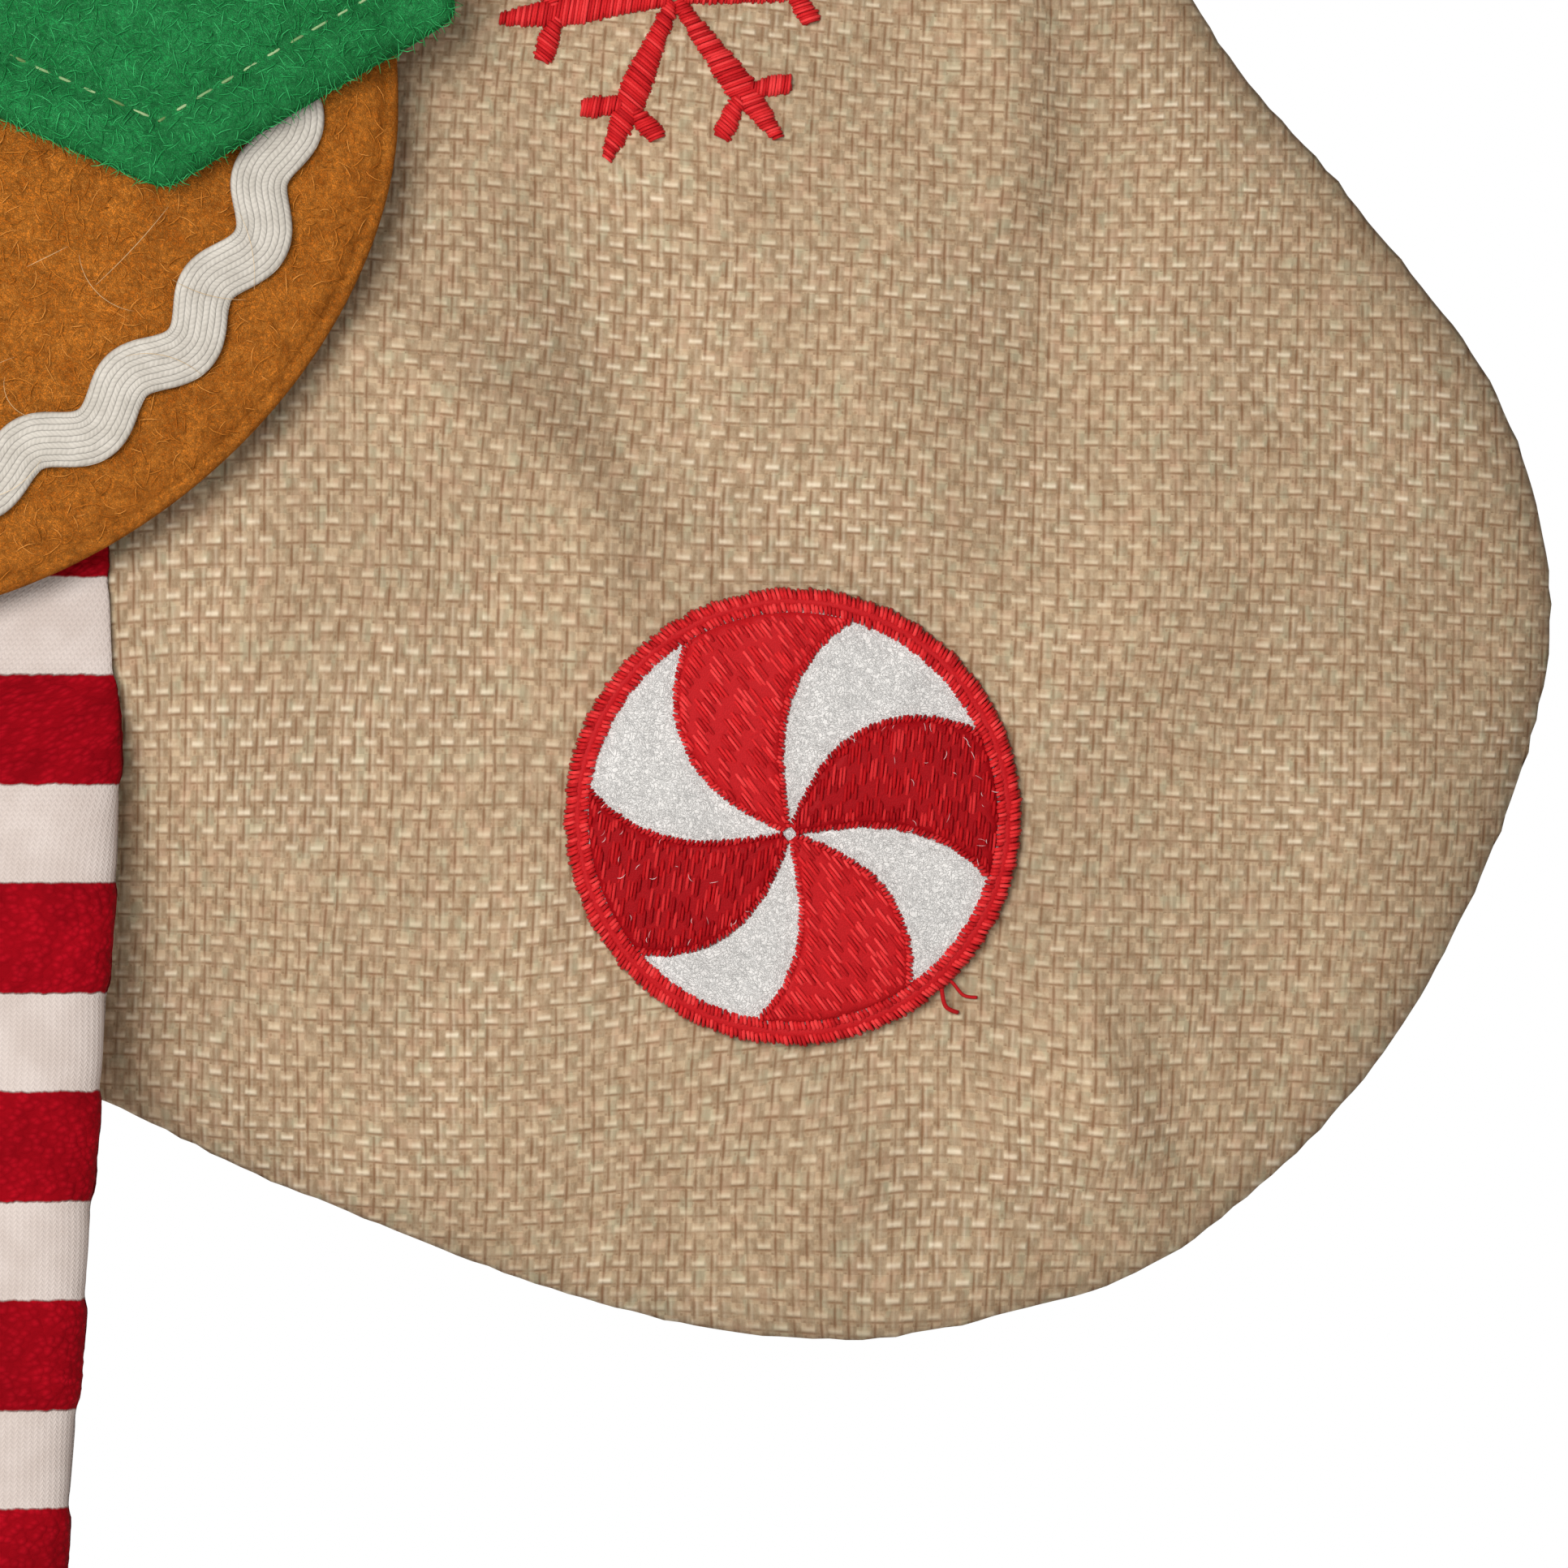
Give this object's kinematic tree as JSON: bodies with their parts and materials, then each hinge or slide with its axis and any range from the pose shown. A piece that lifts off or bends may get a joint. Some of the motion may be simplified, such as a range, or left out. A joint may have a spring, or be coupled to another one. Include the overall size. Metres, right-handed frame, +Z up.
{
  "type": "christmas stocking",
  "caption": "Hanging burlap stocking with a plush cuff and a padded gingerbread figure whose striped legs dangle past the sole.",
  "frame": {"origin": "where the hanging loop rests on its hook: the inside of the loop's top", "axes": "+Z up, the decorated front faces -Y, +X from the heel towards the toe"},
  "size_m": [0.2666, 0.051, 0.5904],
  "materials": {
    "burlap": "coarse plain-weave imitation burlap",
    "lining": "smooth woven lining",
    "fleece": "short plush pile",
    "cotton_tape": "herringbone cotton tape",
    "red_thread": "shiny rayon embroidery thread",
    "white_felt": "thin white felt",
    "brown_felt": "fuzzy brown felt",
    "green_felt": "thick green felt",
    "red_felt": "red felt",
    "rickrack": "off-white woven rickrack",
    "polyester_fill": "loose polyester filling",
    "striped_knit": "knit with red velour and white bands",
    "black_plastic": "glossy black bead",
    "pink_felt": "pink felt",
    "black_thread": "dark brown satin stitch"
  },
  "bodies": {
    "loop": {"hanging_loop": "cotton_tape"},
    "stocking": {"shell_front": "burlap", "shell_back": "burlap", "lining_front": "lining", "lining_back": "lining", "cuff_front": "fleece", "cuff_back": "fleece", "snowflake_right": "red_thread", "snowflake_heel": "red_thread", "snowflake_upper": "red_thread", "peppermint_felt": "white_felt", "peppermint_border": "red_thread", "peppermint_blade_top": "red_thread", "peppermint_blade_left": "red_thread", "peppermint_blade_bottom": "red_thread", "peppermint_blade_right": "red_thread", "body_front": "brown_felt", "body_back": "brown_felt", "body_stuffing": "polyester_fill", "body_rickrack": "rickrack", "head_front": "brown_felt", "head_back": "brown_felt", "head_stuffing": "polyester_fill", "head_rickrack": "rickrack", "vest_right": "green_felt", "vest_left": "green_felt", "button_lower": "red_felt", "button_upper": "red_felt", "bow_tie": "red_felt", "bow_knot": "red_felt", "eye_right": "black_plastic", "eye_left": "black_plastic", "cheek_right": "pink_felt", "cheek_left": "pink_felt", "mouth": "black_thread", "arm_right": "brown_felt", "arm_left": "brown_felt", "wrist_rickrack_right": "rickrack", "wrist_rickrack_left": "rickrack"},
    "hip_right": {"hip_tab_right": "striped_knit"},
    "leg_right": {"leg_right": "striped_knit"},
    "foot_right": {"foot_right": "brown_felt", "ankle_rickrack_right": "rickrack"},
    "hip_left": {"hip_tab_left": "striped_knit"},
    "leg_left": {"leg_left": "striped_knit"},
    "foot_left": {"foot_left": "brown_felt", "ankle_rickrack_left": "rickrack"}
  },
  "joints": [
    {"name": "stocking_swing", "type": "hinge", "parent": "loop", "child": "stocking", "pos_m": [0, 0, -0.0498], "axis": [-1, 0, 0], "range_deg": [-10, 20]},
    {"name": "hip_sway_right", "type": "hinge", "parent": "stocking", "child": "hip_right", "pos_m": [0.11035, -0.015, -0.44], "axis": [0, -1, 0], "range_deg": [0, 25]},
    {"name": "leg_swing_right", "type": "hinge", "parent": "hip_right", "child": "leg_right", "pos_m": [0.11008, -0.015, -0.4472], "axis": [-1, 0, 0], "range_deg": [0, 80]},
    {"name": "ankle_right", "type": "hinge", "parent": "leg_right", "child": "foot_right", "pos_m": [0.10582, -0.0182, -0.5575], "axis": [-1, 0, 0], "range_deg": [-30, 30]},
    {"name": "hip_sway_left", "type": "hinge", "parent": "stocking", "child": "hip_left", "pos_m": [0.08396, -0.015, -0.44], "axis": [0, 1, 0], "range_deg": [0, 25]},
    {"name": "leg_swing_left", "type": "hinge", "parent": "hip_left", "child": "leg_left", "pos_m": [0.08368, -0.015, -0.4472], "axis": [-1, 0, 0], "range_deg": [0, 80]},
    {"name": "ankle_left", "type": "hinge", "parent": "leg_left", "child": "foot_left", "pos_m": [0.07941, -0.0182, -0.5575], "axis": [-1, 0, 0], "range_deg": [-30, 30]}
  ]
}
